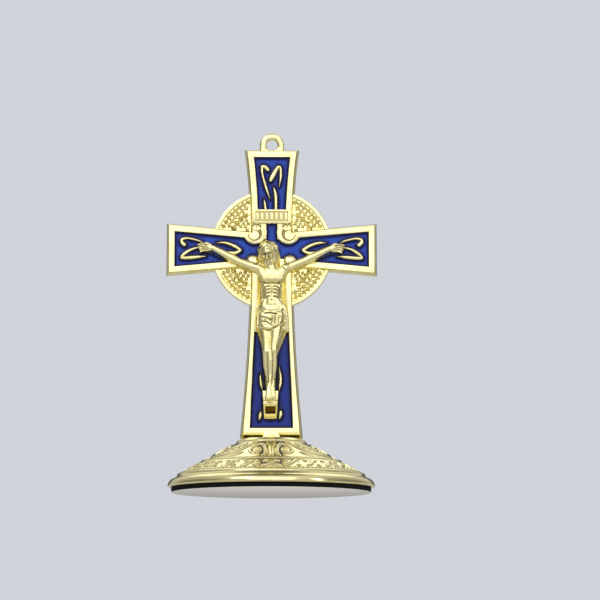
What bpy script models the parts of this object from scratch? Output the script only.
"""Standing metal crucifix: a cast Celtic cross with enamel fields on a bell-shaped foot.

Sizes are in millimetres, and every finished mesh is scaled to metres at the end.
The cross faces -Y, rises along +Z and is centred on the Z axis. Its own drawing
plane is (x, z) with z counted from the crossing, the centre of the four arms.
"""

import math

import bmesh
import bpy
from mathutils import Matrix, Vector
from mathutils.geometry import intersect_line_line_2d

MM = 0.001
COLLECTION = "metal_crucifix"

# Clearances between separate pieces
GLUE_GAP = 0.1
SEAT_GAP = 0.1
ENAMEL_GAP = 0.1

# Cast foot, heights counted from its own underside
FOOT_RADIUS = 31.0
FOOT_HEIGHT = 14.6
FOOT_WALL = 1.8
FOOT_STEPS = 40
TABLE_RADIUS = 8.8
TABLE_THICK = 2.4
COLLAR_DROP = 0.35
BAND_HEIGHT = 2.6
BAND_DEPTH = 1.5
RING_WIDTH = 0.9
RING_HEIGHT = 0.35
GROOVE_WIDTH = 0.7
GROOVE_DEPTH = 0.3

# Pad and liner stuck under the foot, each a little smaller than what it sticks to
PAD_INSET = 1.05
LINER_INSET = 0.25
FOAM_RADIUS = FOOT_RADIUS - PAD_INSET
FOAM_THICK = 1.1
LINER_RADIUS = FOAM_RADIUS - LINER_INSET
LINER_THICK = 0.2
PAD_STEPS = 44

# Scrolls cast on the foot's slope
SCROLL_SECTORS = 6
SCROLL_RADIUS = 0.38
SCROLL_RISE = 0.1
RIB_SAMPLES = 1

# Lug on the foot that covers the front of the joint
LUG_TOP_HALF = 1.9
LUG_FOOT_HALF = 3.0
LUG_HEIGHT = 2.2
LUG_THICK = 1.6

# Cross plate, widths measured on its front face
PLATE_THICK = 2.4
DRAFT = 0.8
FOOT_DRAFT = 1.5
ARM_REACH = 31.2
ARM_END_HALF = 7.25
ARM_ROOT_HALF = 4.45
TOP_REACH = 30.2
TOP_END_HALF = 7.45
TOP_ROOT_HALF = 5.8
TOP_FLARE = 2.5
SHAFT_REACH = 56.2
SHAFT_END_HALF = 8.56
SHAFT_ROOT_HALF = 5.7
SHAFT_FLARE = 2.0
SIDE_POINTS = 4

# Rims, pockets and the enamel in them
RIM = 1.7
POCKET_DEPTH = 1.6
ENAMEL_THICK = 0.4
NECK_HALF = 1.65
FIELD_ABOVE_REST = 18.1
SHAFT_FIELD_TOP_HALF = 5.2
SHAFT_FIELD_FOOT_HALF = 6.46
BED_DEPTH = 0.5

# Round bosses in the corners of the crossing
BOSS_RADIUS = 3.6
UPPER_BOSS_X = 5.1
UPPER_BOSS_Z = 5.1
LOWER_BOSS_X = 5.6
LOWER_BOSS_Z = 5.2
BOSS_STEPS = 20

# Disc behind the crossing
DISC_RADIUS = 18.5
DISC_STEPS = 48
DISC_RIM = 1.1
DISC_SETBACK = 0.9
DISC_STEP = 0.4
DISC_INNER_RADIUS = 13.3
DISC_INNER_STEP = 0.2
STUD_RINGS = (16.15, 14.55)
STUD_PITCH = 1.5
STUD_RADIUS = 0.78
STUD_HEIGHT = 0.6

# Hanging ring on the top arm
RING_OUTER = 3.7
RING_BORE = 1.75
RING_RISE = 2.2

# Title plate with plain upright strokes
TITLE_HALF = 5.5
TITLE_TOP = 12.0
TITLE_FOOT = 7.7
TITLE_PROUD = 0.9
TITLE_STROKES = 8
STROKE_WIDTH = 0.4
STROKE_PROUD = 0.2
STROKE_MARGIN = 0.7

# Raised lines in the enamel, standing flush with the rims
LINE_WIDTH = 0.75
LINE_TIP = 0.16
LINE_SINK = 0.15
LOOP_REACH = 8

# Figure and its footrest, which stands at its clearance above the shaft's lower edge
REST_CLEARANCE = 4.4
REST_HEIGHT = 8.3
REST_FOOT = SHAFT_REACH - REST_CLEARANCE
REST_TOP = REST_FOOT - REST_HEIGHT
FIGURE_BELOW_REST = 5.1
FIGURE_HEIGHT = REST_TOP + FIGURE_BELOW_REST
FIGURE_DESIGN_HEIGHT = 48.6
FIGURE_VOXEL = 0.3
FIGURE_TRIANGLES = 2000
WEB_PROUD = 1.5
REST_HALF = 2.3
REST_FACE = 3.2
REST_PROUD = 2.7
REST_X = -0.3
REST_HOLLOW_MARGIN = 0.55
REST_HOLLOW_DEPTH = 0.6
SHAFT_FIELD_TOP = REST_TOP - FIELD_ABOVE_REST

# Heights and planes worked out from the sizes above
FOAM_FOOT = LINER_THICK + GLUE_GAP
FOOT_FOOT = FOAM_FOOT + FOAM_THICK + GLUE_GAP
TABLE_Z = FOOT_FOOT + FOOT_HEIGHT
CROSSING_Z = TABLE_Z + SEAT_GAP + FOOT_DRAFT + SHAFT_REACH
FRONT = PLATE_THICK / 2
BACK = -PLATE_THICK / 2
POCKET_FLOOR = FRONT - POCKET_DEPTH
ENAMEL_BACK = POCKET_FLOOR + ENAMEL_GAP
ENAMEL_FRONT = ENAMEL_BACK + ENAMEL_THICK
OVERLAP = 0.2


# Small helpers

def clear_scene():
    """Remove what the file opened with."""
    for obj in list(bpy.data.objects):
        bpy.data.objects.remove(obj)


def new_object(name, mesh):
    """Put a mesh into the scene and return its object."""
    obj = bpy.data.objects.new(name, mesh)
    bpy.context.scene.collection.objects.link(obj)
    return obj


def object_from_bmesh(name, bm):
    """Turn a bmesh into an object and free it."""
    mesh = bpy.data.meshes.new(name)
    bm.to_mesh(mesh)
    bm.free()
    return new_object(name, mesh)


def baked(obj):
    """Swap an object for the mesh that its curve or modifiers make, welded."""
    depsgraph = bpy.context.evaluated_depsgraph_get()
    mesh = bpy.data.meshes.new_from_object(obj.evaluated_get(depsgraph))
    mesh.transform(obj.matrix_world)
    name = obj.name
    bpy.data.objects.remove(obj)
    bm = bmesh.new()
    bm.from_mesh(mesh)
    bmesh.ops.remove_doubles(bm, verts=bm.verts, dist=0.002)
    bmesh.ops.dissolve_degenerate(bm, edges=bm.edges, dist=0.001)
    bm.to_mesh(mesh)
    bm.free()
    return new_object(name, mesh)


def combine(target, tools, operation):
    """Cut or join a list of closed meshes with the target, one after another."""
    for tool in tools:
        modifier = target.modifiers.new(tool.name, "BOOLEAN")
        modifier.operation = operation
        modifier.solver = "EXACT"
        modifier.object = tool
    result = baked(target)
    for tool in tools:
        bpy.data.objects.remove(tool)
    return result


def moved(obj, offset):
    """Shift an object's mesh."""
    obj.data.transform(Matrix.Translation(offset))
    return obj


def drawn_forward(obj):
    """Stand a shape drawn in (x, z) with its height as depth: height goes to -Y."""
    obj.data.transform(Matrix.Rotation(math.radians(90), 4, "X"))
    return obj


def prism(name, outline, back, front):
    """A flat outline in (x, z), filled and extruded from depth back to depth front."""
    curve = bpy.data.curves.new(name, "CURVE")
    curve.dimensions = "2D"
    curve.fill_mode = "BOTH"
    curve.extrude = (front - back) / 2
    spline = curve.splines.new("POLY")
    spline.points.add(len(outline) - 1)
    for point, (x, z) in zip(spline.points, outline):
        point.co = (x, z, 0, 1)
    spline.use_cyclic_u = True
    obj = baked(new_object(name, curve))
    moved(obj, (0, 0, (front + back) / 2))
    outward(obj)
    return drawn_forward(obj)


def side_prism(name, outline, left, right):
    """A side view in (forward, z), extruded from x = left to x = right."""
    obj = prism(name, outline, -right, -left)
    obj.data.transform(Matrix.Rotation(math.radians(-90), 4, "Z"))
    return obj


def outward(obj):
    """Point every face of a closed mesh out of it."""
    bm = bmesh.new()
    bm.from_mesh(obj.data)
    bmesh.ops.recalc_face_normals(bm, faces=bm.faces)
    bm.to_mesh(obj.data)
    bm.free()


def box(name, low, high):
    """A box between two corners."""
    bm = bmesh.new()
    size = [b - a for a, b in zip(low, high)]
    centre = [(a + b) / 2 for a, b in zip(low, high)]
    matrix = Matrix.Translation(centre) @ Matrix.Diagonal((*size, 1))
    bmesh.ops.create_cube(bm, size=1, matrix=matrix)
    return object_from_bmesh(name, bm)


def post(name, x, z, radius, back, front, steps):
    """A round post standing out of the plate at (x, z)."""
    bm = bmesh.new()
    depth = front - back
    matrix = Matrix.Translation((x, z, (front + back) / 2))
    bmesh.ops.create_cone(bm, cap_ends=True, segments=steps, radius1=radius,
                          radius2=radius, depth=depth, matrix=matrix)
    return drawn_forward(object_from_bmesh(name, bm))


def turned(name, profile, steps):
    """A profile of (radius, height) points, from the axis down its outer side, spun about Z."""
    bm = bmesh.new()
    verts = [bm.verts.new((radius, 0, height)) for radius, height in profile]
    for first, second in zip(verts, verts[1:]):
        bm.edges.new((first, second))
    obj = object_from_bmesh(name, bm)
    screw = obj.modifiers.new("turn", "SCREW")
    screw.axis = "Z"
    screw.steps = steps
    screw.render_steps = steps
    screw.use_merge_vertices = True
    screw.merge_threshold = 0.0001
    obj = baked(obj)
    outward(obj)
    return obj


# Outlines of the cross

def arm_half(x):
    """Half height of a side arm at distance x from the crossing."""
    return ARM_ROOT_HALF + (ARM_END_HALF - ARM_ROOT_HALF) * x / ARM_REACH


def top_half(z):
    """Half width of the top arm at height z above the crossing."""
    return TOP_ROOT_HALF + (TOP_END_HALF - TOP_ROOT_HALF) * (z / TOP_REACH) ** TOP_FLARE


def shaft_half(depth):
    """Half width of the shaft at a depth below the crossing."""
    return SHAFT_ROOT_HALF + (SHAFT_END_HALF - SHAFT_ROOT_HALF) * (depth / SHAFT_REACH) ** SHAFT_FLARE


def inner_corner(half):
    """Where a side arm's edge meets the edge of the upright whose half width is given."""
    x = half(0)
    for _ in range(12):
        z = arm_half(x)
        x = half(z)
    return x, z


def spaced(start, end, count):
    """Evenly spaced values from start to end, both included."""
    return [start + (end - start) * i / (count - 1) for i in range(count)]


def mirrored(right_side):
    """Close an outline from its right side, listed from top to bottom."""
    return right_side + [(-x, z) for x, z in reversed(right_side)]


def cross_outline():
    """The cross on its front face."""
    top_x, top_z = inner_corner(top_half)
    low_x, low_z = inner_corner(shaft_half)
    right = [(top_half(z), z) for z in spaced(TOP_REACH, top_z, SIDE_POINTS)]
    right += [(ARM_REACH, ARM_END_HALF), (ARM_REACH, -ARM_END_HALF)]
    right += [(shaft_half(z), -z) for z in spaced(low_z, SHAFT_REACH, SIDE_POINTS + 1)]
    return mirrored(right)


def grown(outline, distance):
    """Move each edge of a clockwise outline out by a distance, with mitred corners."""
    result = []
    count = len(outline)
    for i, (x, z) in enumerate(outline):
        before = Vector(outline[i - 1])
        here = Vector((x, z))
        after = Vector(outline[(i + 1) % count])
        first = (here - before).normalized()
        second = (after - here).normalized()
        normal_a = Vector((-first.y, first.x))
        normal_b = Vector((-second.y, second.x))
        bisector = (normal_a + normal_b).normalized()
        reach = distance / max(bisector.dot(normal_a), 0.3)
        result.append((x + bisector.x * reach, z + bisector.y * reach))
    return result


def behind_title(gap):
    """How far a field keeps from the title plate: a pocket runs behind it, enamel stops short."""
    return gap if gap > 0 else -OVERLAP


def top_field(gap):
    """Field of the top arm, from the title plate to the top rim."""
    heights = spaced(TOP_REACH - RIM - gap, TITLE_TOP + behind_title(gap), SIDE_POINTS)
    return mirrored([(top_half(z) - RIM - gap, z) for z in heights])


def arms_field(gap):
    """Field from one side rim to the other, with a neck up to the title plate."""
    reach = ARM_REACH - RIM - gap
    neck = NECK_HALF - gap
    right = [(neck, TITLE_FOOT - behind_title(gap)), (neck, arm_half(neck) - RIM - gap),
             (reach, arm_half(reach) - RIM - gap), (reach, RIM + gap - arm_half(reach))]
    return right + [(0, RIM + gap - arm_half(0))] + [(-x, z) for x, z in reversed(right)]


def shaft_field_half(depth):
    """Half width of the shaft's field at a depth below the crossing."""
    share = (depth - SHAFT_FIELD_TOP) / (SHAFT_REACH - RIM - SHAFT_FIELD_TOP)
    return SHAFT_FIELD_TOP_HALF + (SHAFT_FIELD_FOOT_HALF - SHAFT_FIELD_TOP_HALF) * share


def shaft_field(gap):
    """Field of the shaft, round the legs and the footrest."""
    low = SHAFT_REACH - RIM - gap
    high = SHAFT_FIELD_TOP + gap
    return mirrored([(shaft_field_half(high) - gap, -high), (shaft_field_half(low) - gap, -low)])


def bed_outline():
    """Shallow bed beside the torso, between the crossing and the shaft's field."""
    high = LOWER_BOSS_Z + BOSS_RADIUS
    low = SHAFT_FIELD_TOP + OVERLAP
    half = SHAFT_FIELD_TOP_HALF
    return mirrored([(shaft_half(high) - RIM, -high), (half, -low)])


# Raised lines, each a bent stroke that tapers to both ends

def smooth_path(points, samples):
    """Points along a smooth curve through the given ones."""
    padded = [points[0]] + list(points) + [points[-1]]
    path = []
    for i in range(len(points) - 1):
        a, b, c, d = [Vector(p) for p in padded[i:i + 4]]
        for k in range(samples):
            t = k / samples
            path.append(0.5 * ((2 * b) + (c - a) * t + (2 * a - 5 * b + 4 * c - d) * t ** 2
                               + (3 * b - a - 3 * c + d) * t ** 3))
    path.append(Vector(points[-1]))
    return path


def without_loops(outline):
    """Cut off the small loops that an offset makes inside a tight bend."""
    for i in range(len(outline) - 2):
        for j in range(i + 2, min(i + LOOP_REACH, len(outline) - 1)):
            meet = intersect_line_line_2d(outline[i], outline[i + 1], outline[j], outline[j + 1])
            if meet:
                return without_loops(outline[:i + 1] + [tuple(meet)] + outline[j + 1:])
    return outline


def stroke_outline(points, width, gap, samples=3, tip=LINE_TIP):
    """Outline of a stroke along a path, widest in the middle of its length."""
    path = smooth_path(points, samples)
    left = []
    right = []
    last = len(path) - 1
    for i, here in enumerate(path):
        ahead = (path[min(i + 1, last)] - path[max(i - 1, 0)]).normalized()
        side = Vector((-ahead.y, ahead.x))
        half = (tip + (width - tip) * math.sin(math.pi * i / last) ** 0.7) / 2 + gap
        end = ahead * gap * ((i == last) - (i == 0))
        left.append(tuple(here + side * half + end))
        right.append(tuple(here - side * half + end))
    return without_loops(left) + without_loops(right)[::-1]


def scaled_path(points, x_scale, z_scale, x_move=0.0, z_move=0.0):
    """Scale and shift a path drawn in shares of a field."""
    return [(x * x_scale + x_move, z * z_scale + z_move) for x, z in points]


def arm_lines(side):
    """The three strokes on a side arm: outer hook, lower loop and inner leaf."""
    reach = ARM_REACH - RIM
    half = arm_half(reach) - RIM
    hook = ((0.862, 0.14), (0.9, 0.42), (0.928, 0.58), (0.885, 0.66), (0.8, 0.54), (0.7, 0.36))
    loop = ((0.752, 0.12), (0.83, -0.05), (0.895, -0.3), (0.925, -0.5), (0.84, -0.52), (0.665, -0.44))
    leaf = ((0.565, 0.4), (0.46, 0.38), (0.36, 0.18), (0.312, -0.02), (0.36, -0.17), (0.46, -0.22))
    return [scaled_path(path, side * reach, half) for path in (hook, loop, leaf)]


def top_lines():
    """The four strokes on the top arm."""
    reach = TOP_REACH
    left = ((-0.1, 0.79), (-0.3, 0.865), (-0.42, 0.845), (-0.36, 0.72), (-0.02, 0.5))
    right = ((-0.03, 0.645), (0.1, 0.72), (0.36, 0.86), (0.35, 0.74), (0.3, 0.61))
    centre = ((0.115, 0.645), (0.19, 0.55), (0.185, 0.405))
    small = ((-0.27, 0.54), (-0.25, 0.47), (-0.2, 0.405))
    return [scaled_path(path, TOP_END_HALF, reach) for path in (left, right, centre, small)]


def shaft_lines():
    """Two upright leaves beside the shins and two drops beside the footrest."""
    lines = []
    for side, leaf_top, leaf_foot, drop_top, drop_foot in ((-1, 0.53, 0.4, 0.58, 0.42),
                                                          (1, 0.33, 0.5, 0.52, 0.36)):
        half = SHAFT_FIELD_FOOT_HALF
        lines.append(scaled_path(((leaf_top, 0.67), (0.5 * (leaf_top + leaf_foot) + 0.05, 0.715),
                                  (leaf_foot, 0.768)), side * half, -SHAFT_REACH))
        lines.append(scaled_path(((drop_top, 0.882), (0.5 * (drop_top + drop_foot) + 0.02, 0.9),
                                  (drop_foot, 0.925)), side * half, -SHAFT_REACH))
    return lines


# The figure, drawn for a height of FIGURE_DESIGN_HEIGHT as (x, forward, z) from the crossing

SHOULDERS = {-1: (-4.0, 3.1, -6.9), 1: (4.1, 3.1, -6.8)}
ELBOWS = {-1: (-9.6, 2.9, -4.1), 1: (9.7, 2.9, -3.8)}
WRISTS = {-1: (-17.9, 2.6, 0.1), 1: (17.5, 2.6, -0.1)}
HANDS = {-1: (-20.2, 2.5, 0.25), 1: (19.7, 2.5, -0.1)}
FINGERS = {-1: (-21.7, 2.4, 0.2), 1: (21.2, 2.4, -0.2)}
HIPS = {-1: (-2.2, 3.1, -22.0), 1: (2.1, 3.1, -22.0)}
KNEES = {-1: (-1.75, 5.0, -31.8), 1: (0.75, 5.1, -31.4)}
CALVES = {-1: (-1.35, 4.0, -36.0), 1: (0.5, 4.1, -36.0)}
ANKLES = {-1: (-0.95, 3.4, -42.2), 1: (0.25, 3.7, -42.2)}
TOES = {-1: (-0.75, 4.2, -46.0), 1: (-0.25, 4.6, -45.9)}
HEAD = (-1.45, 4.4, -1.5)
JAW = (-0.75, 5.1, -4.1)
BEARD = (-0.35, 5.2, -6.6)
NECK_FOOT = (0.0, 3.0, -8.0)


def figure_scale():
    """How the figure's design sizes turn into real ones."""
    return FIGURE_HEIGHT / FIGURE_DESIGN_HEIGHT


def add_hull(bm, balls):
    """Add the tight skin round a set of balls, each (centre, radii)."""
    skin = bmesh.new()
    for (x, forward, z), radii in balls:
        if not isinstance(radii, tuple):
            radii = (radii, radii, radii)
        place = Matrix.Translation((x, -forward, z)) @ Matrix.Diagonal((*radii, 1))
        bmesh.ops.create_icosphere(skin, subdivisions=2, radius=1, matrix=place)
    made = bmesh.ops.convex_hull(skin, input=skin.verts)
    spare = [item for item in made["geom_interior"] + made["geom_unused"]
             if isinstance(item, bmesh.types.BMVert) and item.is_valid]
    bmesh.ops.delete(skin, geom=spare, context="VERTS")
    mesh = bpy.data.meshes.new("skin")
    skin.to_mesh(mesh)
    skin.free()
    bm.from_mesh(mesh)
    bpy.data.meshes.remove(mesh)


def add_chain(bm, joints):
    """Add hulls between each pair of neighbouring balls."""
    for pair in zip(joints, joints[1:]):
        add_hull(bm, pair)


def add_arms(bm):
    """Both arms, stretched along the cross, with open hands."""
    for side in (-1, 1):
        upper = Vector(SHOULDERS[side]).lerp(Vector(ELBOWS[side]), 0.45)
        fore = Vector(ELBOWS[side]).lerp(Vector(WRISTS[side]), 0.3)
        add_chain(bm, [((2.2 * side, 3.2, -8.0), 1.9), (SHOULDERS[side], 1.55), (tuple(upper), 1.25),
                       (ELBOWS[side], 0.95), (tuple(fore), 1.05), (WRISTS[side], 0.66)])
        add_chain(bm, [(WRISTS[side], 0.62), (HANDS[side], (1.1, 0.55, 1.3)),
                       (FINGERS[side], (0.6, 0.45, 0.95))])
        thumb = (HANDS[side][0] + 0.4 * side, HANDS[side][1] + 0.25, HANDS[side][2] + 1.15)
        add_hull(bm, [(HANDS[side], 0.5), (thumb, 0.36)])


def add_torso(bm):
    """Chest, ribs, waist and belly."""
    for side in (-1, 1):
        add_hull(bm, [((1.7 * side, 3.5, -9.6), (2.1, 1.9, 2.3)), ((2.1 * side, 3.0, -8.2), 1.9),
                      ((0.4 * side, 3.2, -8.6), 2.0)])
        add_hull(bm, [((1.4 * side, 3.2, -12.0), (2.0, 2.0, 2.0)), ((1.1 * side, 2.9, -16.2), (1.7, 1.7, 1.5)),
                      ((0, 2.8, -12.0), 1.8)])
    add_hull(bm, [((0, 3.2, -15.5), (2.4, 1.8, 2.0)), ((0, 3.1, -18.0), (2.9, 2.0, 2.0))])


def add_legs(bm):
    """Both legs, knees forward and turned to the viewer's left, feet crossed."""
    for side in (-1, 1):
        thigh = Vector(HIPS[side]).lerp(Vector(KNEES[side]), 0.5)
        add_chain(bm, [(HIPS[side], 2.2), (tuple(thigh), 1.65), (KNEES[side], 1.2)])
        add_chain(bm, [(KNEES[side], 1.15), (CALVES[side], 1.15), (ANKLES[side], 0.75)])
        add_chain(bm, [(ANKLES[side], 0.75), (TOES[side], (0.95, 0.5, 0.7))])


def add_loincloth(bm):
    """Cloth round the hips: a top roll, the skirt, a few folds and a hanging end."""
    add_chain(bm, [((-3.2, 3.1, -17.9), 1.05), ((-1.2, 4.5, -18.4), 1.0), ((1.2, 4.6, -18.3), 1.0),
                   ((3.3, 3.2, -17.6), 1.05)])
    add_hull(bm, [((-2.7, 3.0, -20.4), (1.6, 2.0, 2.2)), ((2.6, 3.0, -20.4), (1.6, 2.0, 2.2)),
                  ((-2.1, 3.6, -24.2), (1.6, 1.8, 1.2)), ((1.9, 3.6, -24.2), (1.7, 1.8, 1.2))])
    for start, end in (((-3.2, 4.2, -20.6), (0.4, 5.3, -22.6)), ((-2.9, 4.3, -22.6), (0.2, 5.5, -24.6)),
                       ((3.0, 4.3, -20.2), (0.6, 5.4, -22.8)), ((0.4, 5.1, -20.6), (0.5, 5.7, -25.4))):
        add_hull(bm, [(start, 0.5), (end, 0.45)])
    add_chain(bm, [((3.9, 3.2, -18.3), 1.0), ((4.3, 2.7, -21.5), 0.85), ((4.2, 2.2, -24.9), 0.55)])


def add_head(bm):
    """Head bowed to the viewer's left, with long hair, a cap of curls and a short beard."""
    add_hull(bm, [(HEAD, (2.35, 2.3, 2.8)), ((-0.95, 5.0, -3.2), (1.7, 1.8, 1.6)), (JAW, (1.25, 1.3, 1.2))])
    add_hull(bm, [((-1.7, 3.6, -0.9), (2.75, 2.2, 2.9)), ((-1.2, 3.2, -3.5), (2.4, 1.8, 2.0))])
    add_hull(bm, [((-0.72, 6.35, -2.4), 0.28), ((-0.68, 7.05, -3.35), 0.3)])
    add_hull(bm, [(JAW, (1.15, 1.25, 1.0)), (BEARD, (0.55, 0.6, 0.6))])
    add_chain(bm, [((0.7, 3.9, -0.6), 1.2), ((1.35, 3.8, -3.6), 1.05), ((1.5, 3.9, -6.6), 0.75),
                   ((1.9, 4.1, -8.4), 0.45)])
    add_chain(bm, [((-3.5, 3.8, -1.2), 1.05), ((-3.1, 3.7, -4.4), 0.95), ((-2.5, 3.8, -7.2), 0.65)])
    add_hull(bm, [((-0.6, 3.4, -4.5), 1.5), (NECK_FOOT, 1.7)])


def make_figure():
    """The figure as one skin, with few enough faces to be cast into the cross."""
    bm = bmesh.new()
    add_arms(bm)
    add_torso(bm)
    add_legs(bm)
    add_loincloth(bm)
    add_head(bm)
    obj = object_from_bmesh("figure", bm)
    obj.data.transform(Matrix.Scale(figure_scale(), 4))
    remesh = obj.modifiers.new("skin", "REMESH")
    remesh.mode = "VOXEL"
    remesh.voxel_size = FIGURE_VOXEL * figure_scale()
    smooth = obj.modifiers.new("smooth", "SMOOTH")
    smooth.factor = 0.5
    smooth.iterations = 3
    obj = baked(obj)
    faces = sum(len(face.vertices) - 2 for face in obj.data.polygons)
    decimate = obj.modifiers.new("few", "DECIMATE")
    decimate.ratio = FIGURE_TRIANGLES / faces
    return baked(obj)


def flat(point):
    """A figure point as (x, z), at its real size."""
    return (point[0] * figure_scale(), point[2] * figure_scale())


def web_outlines(gap):
    """Cast walls behind the arms, the head and the legs, which carry the figure."""
    outlines = []
    for side in (-1, 1):
        path = [flat(SHOULDERS[side]), flat(ELBOWS[side]), flat(WRISTS[side]), flat(FINGERS[side])]
        outlines.append(stroke_outline(path, 1.7, gap, 2, 0.9))
    head = flat(HEAD)
    chest = flat(NECK_FOOT)
    middle = ((head[0] + chest[0]) / 2, (head[1] + chest[1]) / 2)
    outlines.append(stroke_outline([(head[0], head[1] + 1.6), middle, chest], 4.6, gap, 3, 1.4))
    hips = flat(HIPS[1])
    thighs = (-0.25, flat(HIPS[1])[1] - 1.0)
    feet = (flat(ANKLES[-1])[0] + 0.6, -REST_TOP - 0.4)
    outlines.append([(-hips[0] - 1.6 - gap, thighs[1]), (hips[0] + 1.6 + gap, thighs[1]),
                     (feet[0] + 0.9 + gap, feet[1]), (feet[0] - 0.9 - gap, feet[1])])
    return outlines


def web_prisms(gap, back, front):
    """The cast walls as prisms, or the slots that clear them."""
    return [prism(f"web_{i}", outline, back, front) for i, outline in enumerate(web_outlines(gap))]


def make_footrest():
    """A wedge under the feet: upright face on top, hollowed slope below."""
    high = -REST_TOP
    edge = high - REST_FACE
    low = -REST_FOOT
    proud = FRONT + REST_PROUD
    outline = [(POCKET_FLOOR - LINE_SINK, high), (proud, high), (proud, edge),
               (FRONT, low), (POCKET_FLOOR - LINE_SINK, low)]
    side = side_prism("footrest", outline, REST_X - REST_HALF, REST_X + REST_HALF)
    hollow_z = (edge - 1.0, edge - 3.6)
    slope = (proud - FRONT) / (edge - low)
    cut = []
    for z in hollow_z:
        cut.append((proud + slope * (z - edge) - REST_HOLLOW_DEPTH, z))
    cut += [(proud + 1.0, hollow_z[1]), (proud + 1.0, hollow_z[0])]
    half = REST_HALF - REST_HOLLOW_MARGIN
    hollow = side_prism("hollow", cut, REST_X - half, REST_X + half)
    return combine(side, [hollow], "DIFFERENCE")


# The cast cross

def make_plate():
    """The flat cross with walls that slope out towards its back."""
    front = cross_outline()
    back = [(x, z - (FOOT_DRAFT - DRAFT) if z < -SHAFT_REACH else z) for x, z in grown(front, DRAFT)]
    plate = prism("cross", back, BACK, FRONT)
    by_place = {(round(x, 3), round(z, 3)): target for (x, z), target in zip(back, front)}
    for vertex in plate.data.vertices:
        if vertex.co.y < 0:
            x, z = by_place[(round(vertex.co.x, 3), round(vertex.co.z, 3))]
            vertex.co.x = x
            vertex.co.z = z
    return plate


def make_disc():
    """The disc behind the crossing, with a raised rim and a stepped field."""
    rim = FRONT - DISC_SETBACK
    field = rim - DISC_STEP
    inner = field - DISC_INNER_STEP
    core = SHAFT_ROOT_HALF
    profile = [(0, inner), (core, inner), (DISC_INNER_RADIUS - 0.2, inner), (DISC_INNER_RADIUS, field),
               (DISC_RADIUS - DISC_RIM - 0.2, field), (DISC_RADIUS - DISC_RIM, rim),
               (DISC_RADIUS - 0.3, rim), (DISC_RADIUS, rim - 0.3), (DISC_RADIUS, BACK + OVERLAP), (0, BACK + OVERLAP)]
    return drawn_forward(turned("disc", profile, DISC_STEPS))


def beside_cross(x, z, margin):
    """Whether a point of the disc lies clear of the cross in front of it."""
    side = top_half(z) if z > 0 else shaft_half(-z)
    return abs(x) > side + DRAFT + margin and abs(z) > arm_half(abs(x)) + DRAFT + margin


def make_studs():
    """Four-sided studs in rings on the part of the disc that shows."""
    bm = bmesh.new()
    field = FRONT - DISC_SETBACK - DISC_STEP
    for ring, radius in enumerate(STUD_RINGS):
        count = round(2 * math.pi * radius / STUD_PITCH)
        for i in range(count):
            angle = 2 * math.pi * (i + 0.5 * (ring % 2)) / count
            x = radius * math.cos(angle)
            z = radius * math.sin(angle)
            if not beside_cross(x, z, 0.1):
                continue
            place = (Matrix.Translation((x, z, field + STUD_HEIGHT / 2 - LINE_SINK / 2))
                     @ Matrix.Rotation(angle + math.radians(45), 4, "Z"))
            bmesh.ops.create_cone(bm, cap_ends=True, segments=4, radius1=STUD_RADIUS, radius2=0,
                                  depth=STUD_HEIGHT + LINE_SINK, matrix=place)
    return drawn_forward(object_from_bmesh("studs", bm))


def make_ring():
    """The hanging ring that stands on the top edge."""
    wire = (RING_OUTER - RING_BORE) / 2
    bpy.ops.mesh.primitive_torus_add(major_segments=24, minor_segments=6,
                                     major_radius=(RING_OUTER + RING_BORE) / 2, minor_radius=wire)
    ring = bpy.context.object
    ring.name = "ring"
    return moved(drawn_forward(ring), (0, 0, TOP_REACH + RING_RISE))


def make_title():
    """The title plate with a row of plain upright strokes."""
    pieces = [box("title", (-TITLE_HALF, -FRONT - TITLE_PROUD, TITLE_FOOT),
                  (TITLE_HALF, -POCKET_FLOOR + LINE_SINK, TITLE_TOP))]
    span = TITLE_HALF - STROKE_MARGIN
    for i, x in enumerate(spaced(-span, span, TITLE_STROKES)):
        pieces.append(box(f"stroke_{i}", (x - STROKE_WIDTH / 2, -FRONT - TITLE_PROUD - STROKE_PROUD,
                                          TITLE_FOOT + STROKE_MARGIN),
                          (x + STROKE_WIDTH / 2, -FRONT, TITLE_TOP - STROKE_MARGIN)))
    return combine(pieces[0], pieces[1:], "UNION")


def boss_places():
    """Centres of the four bosses."""
    return [(side * UPPER_BOSS_X, UPPER_BOSS_Z) for side in (-1, 1)] + \
           [(side * LOWER_BOSS_X, -LOWER_BOSS_Z) for side in (-1, 1)]


def field_prism(name, field, gap, back, front):
    """A field as a block, or the enamel in it; the crossing's one is cut by the bosses."""
    block = prism(f"{name}_{field}", FIELDS[field](gap), back, front)
    if field == "arms":
        posts = [post(f"boss_{i}", x, z, BOSS_RADIUS + gap, back - 1, front + 1, BOSS_STEPS)
                 for i, (x, z) in enumerate(boss_places())]
        block = combine(block, posts, "DIFFERENCE")
    return block


def all_lines():
    """Every raised line with the field it stands in."""
    arms = arm_lines(-1) + arm_lines(1)
    return {"top": top_lines(), "arms": arms, "shaft": shaft_lines()}


def line_prisms(paths, gap, back, front):
    """Raised lines as prisms, or the slots that clear them."""
    return [prism(f"line_{i}", stroke_outline(path, LINE_WIDTH, gap), back, front)
            for i, path in enumerate(paths)]


FIELDS = {"top": top_field, "arms": arms_field, "shaft": shaft_field}


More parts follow.
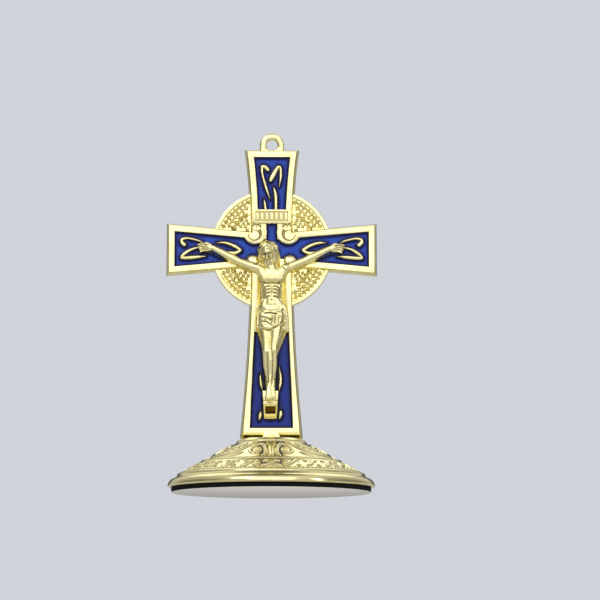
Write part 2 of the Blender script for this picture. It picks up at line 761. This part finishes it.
def make_cross():
    """The whole casting: plate, disc, ring, rims, lines, title, figure and footrest."""
    cross = make_plate()
    cuts = [field_prism("pocket", field, 0.0, POCKET_FLOOR, FRONT + 1) for field in FIELDS]
    cuts.append(prism("bed", bed_outline(), FRONT - BED_DEPTH, FRONT + 1))
    cross = combine(cross, cuts, "DIFFERENCE")
    added = [make_disc(), make_studs(), make_ring()]
    added[0] = clip_behind_plate(added[0])
    lines = []
    for paths in all_lines().values():
        lines += line_prisms(paths, 0.0, POCKET_FLOOR - LINE_SINK, FRONT)
    webs = web_prisms(0.0, POCKET_FLOOR - LINE_SINK, FRONT + WEB_PROUD)
    cross = combine(cross, added + lines + webs, "UNION")
    return combine(cross, [make_title(), make_footrest(), make_figure()], "UNION")


def clip_behind_plate(disc):
    """Keep the disc out of the pockets: it only shows beside the cross."""
    cutters = [field_prism("clear", field, 0.0, POCKET_FLOOR, FRONT + 1) for field in FIELDS]
    return combine(disc, cutters, "DIFFERENCE")


def make_enamel(field):
    """Enamel in one pocket, with slots for the lines, the walls and the footrest."""
    block = field_prism("enamel", field, ENAMEL_GAP, ENAMEL_BACK, ENAMEL_FRONT)
    low = ENAMEL_BACK - 1
    high = ENAMEL_FRONT + 1
    tools = line_prisms(all_lines()[field], ENAMEL_GAP, low, high)
    if field != "top":
        tools += web_prisms(ENAMEL_GAP, low, high)
    if field == "shaft":
        tools.append(box("rest_slot", (REST_X - REST_HALF - ENAMEL_GAP, -high, -REST_FOOT - ENAMEL_GAP),
                         (REST_X + REST_HALF + ENAMEL_GAP, -low, -REST_TOP + ENAMEL_GAP)))
    return combine(block, tools, "DIFFERENCE")


# The cast foot

def slope_point(share):
    """Radius and height on the foot's slope, from its collar (0) to its lower band (1)."""
    radius = TABLE_RADIUS + (FOOT_RADIUS - BAND_DEPTH - TABLE_RADIUS) * share
    high = FOOT_HEIGHT - COLLAR_DROP
    return radius, high + (BAND_HEIGHT - high) * share


def slope_bump(share, width, height):
    """Three profile points that raise or sink a ring on the slope."""
    run = FOOT_RADIUS - BAND_DEPTH - TABLE_RADIUS
    radius, middle = slope_point(share)
    return [slope_point(share - width / run / 2), (radius + height * 0.5, middle + height),
            slope_point(share + width / run / 2)]


def foot_profile():
    """Outer side from the top down, then the hollow back up to the axis."""
    band_radius, band_top = slope_point(1.0)
    outer = [(0, FOOT_HEIGHT), (TABLE_RADIUS - 0.3, FOOT_HEIGHT), slope_point(0.01)]
    outer += slope_bump(0.055, RING_WIDTH, RING_HEIGHT)
    outer += slope_bump(0.575, RING_WIDTH, RING_HEIGHT)
    outer += slope_bump(0.9, RING_WIDTH, RING_HEIGHT)
    outer += slope_bump(0.975, GROOVE_WIDTH, -GROOVE_DEPTH)
    outer += [(band_radius + BAND_DEPTH * 0.55, band_top - BAND_HEIGHT * 0.22),
              (band_radius + BAND_DEPTH * 0.88, band_top - BAND_HEIGHT * 0.5),
              (FOOT_RADIUS, band_top - BAND_HEIGHT * 0.78), (FOOT_RADIUS - 0.3, 0)]
    high_radius, high = slope_point(0.0)
    run = band_radius - high_radius
    drop = FOOT_WALL * math.hypot(run, high - band_top) / run
    inner_edge = FOOT_RADIUS - 0.3 - FOOT_WALL
    ceiling = FOOT_HEIGHT - TABLE_THICK
    lean = (high - band_top) / run
    ceiling_radius = high_radius + (high - drop - ceiling) / lean
    inner = [(inner_edge, 0), (inner_edge, band_top - lean * (inner_edge - band_radius) - drop),
             (max(ceiling_radius, 1.0), ceiling), (0, ceiling)]
    return outer + inner


def scroll_on_slope(turns):
    """A path of (slope share, degrees) pairs laid on the slope."""
    points = []
    for share, degrees in turns:
        radius, height = slope_point(share)
        angle = math.radians(degrees)
        points.append((radius * math.sin(angle), -radius * math.cos(angle), height + SCROLL_RISE))
    return points


def make_rib(name, points):
    """A tapered rib along a path, as a curve with a small round section."""
    curve = bpy.data.curves.new(name, "CURVE")
    curve.dimensions = "3D"
    curve.bevel_depth = SCROLL_RADIUS
    curve.bevel_resolution = 0
    curve.use_fill_caps = True
    path = smooth_path(points, RIB_SAMPLES)
    spline = curve.splines.new("POLY")
    spline.points.add(len(path) - 1)
    for i, (point, place) in enumerate(zip(spline.points, path)):
        point.co = (*place, 1)
        point.radius = 0.45 + 0.55 * math.sin(math.pi * i / (len(path) - 1))
    rib = baked(new_object(name, curve))
    outward(rib)
    return rib


def make_foot():
    """The bell-shaped foot with rings, scrolls and the front lug."""
    foot = turned("foot", foot_profile(), FOOT_STEPS)
    step = 360 / SCROLL_SECTORS
    ribs = []
    for i in range(SCROLL_SECTORS):
        for side in (-1, 1):
            upper = [(share, i * step + side * degrees) for share, degrees in
                     ((0.21, 19), (0.16, 14), (0.18, 9), (0.26, 8.5), (0.34, 14), (0.41, 16.5), (0.47, 12), (0.48, 4))]
            lower = [(share, i * step + side * degrees) for share, degrees in
                     ((0.8, 4), (0.66, 12), (0.78, 24))]
            ribs.append(make_rib(f"scroll_{i}_{side}", scroll_on_slope(upper)))
            ribs.append(make_rib(f"leaf_{i}_{side}", scroll_on_slope(lower)))
    lug_back = FRONT + SEAT_GAP
    outline = mirrored([(LUG_TOP_HALF, FOOT_HEIGHT + LUG_HEIGHT), (LUG_FOOT_HALF, FOOT_HEIGHT),
                        (LUG_FOOT_HALF, FOOT_HEIGHT - 1)])
    ribs.append(prism("lug", outline, lug_back, lug_back + LUG_THICK))
    return combine(foot, ribs, "UNION")


def make_pad_disc(name, radius, low, thick):
    """A flat round sheet that lies level."""
    bm = bmesh.new()
    bmesh.ops.create_cone(bm, cap_ends=True, segments=PAD_STEPS, radius1=radius, radius2=radius,
                          depth=thick, matrix=Matrix.Translation((0, 0, low + thick / 2)))
    return object_from_bmesh(name, bm)


# Materials and the finished set

def make_material(name, colour, roughness, metallic):
    """A plain surface with the piece's colour."""
    material = bpy.data.materials.new(name)
    material.use_nodes = True
    shader = material.node_tree.nodes["Principled BSDF"]
    shader.inputs["Base Color"].default_value = (*colour, 1)
    shader.inputs["Roughness"].default_value = roughness
    shader.inputs["Metallic"].default_value = metallic
    return material


def finish(obj, name, material, height, collection):
    """Name a piece, lift it to its height, scale it to metres and file it."""
    obj.data.transform(Matrix.Scale(MM, 4) @ Matrix.Translation((0, 0, height)))
    obj.name = name
    obj.data.name = name
    obj.data.materials.clear()
    obj.data.materials.append(material)
    obj.data.shade_smooth()
    obj.data.set_sharp_from_angle(angle=math.radians(30))
    for owner in list(obj.users_collection):
        owner.objects.unlink(obj)
    collection.objects.link(obj)


def main():
    """Build every piece of the crucifix."""
    clear_scene()
    collection = bpy.data.collections.new(COLLECTION)
    bpy.context.scene.collection.children.link(collection)
    gold = make_material("gold", (0.82, 0.66, 0.32), 0.22, 1.0)
    blue = make_material("enamel", (0.03, 0.06, 0.36), 0.12, 0.0)
    black = make_material("foam", (0.012, 0.012, 0.013), 0.9, 0.0)
    paper = make_material("liner", (0.62, 0.6, 0.55), 0.7, 0.0)
    finish(make_cross(), "cross", gold, CROSSING_Z, collection)
    for field in FIELDS:
        finish(make_enamel(field), f"enamel_{field}", blue, CROSSING_Z, collection)
    finish(make_foot(), "foot", gold, FOOT_FOOT, collection)
    finish(make_pad_disc("foam", FOAM_RADIUS, FOAM_FOOT, FOAM_THICK), "foam_pad", black, 0, collection)
    finish(make_pad_disc("liner", LINER_RADIUS, 0, LINER_THICK), "pad_liner", paper, 0, collection)


main()
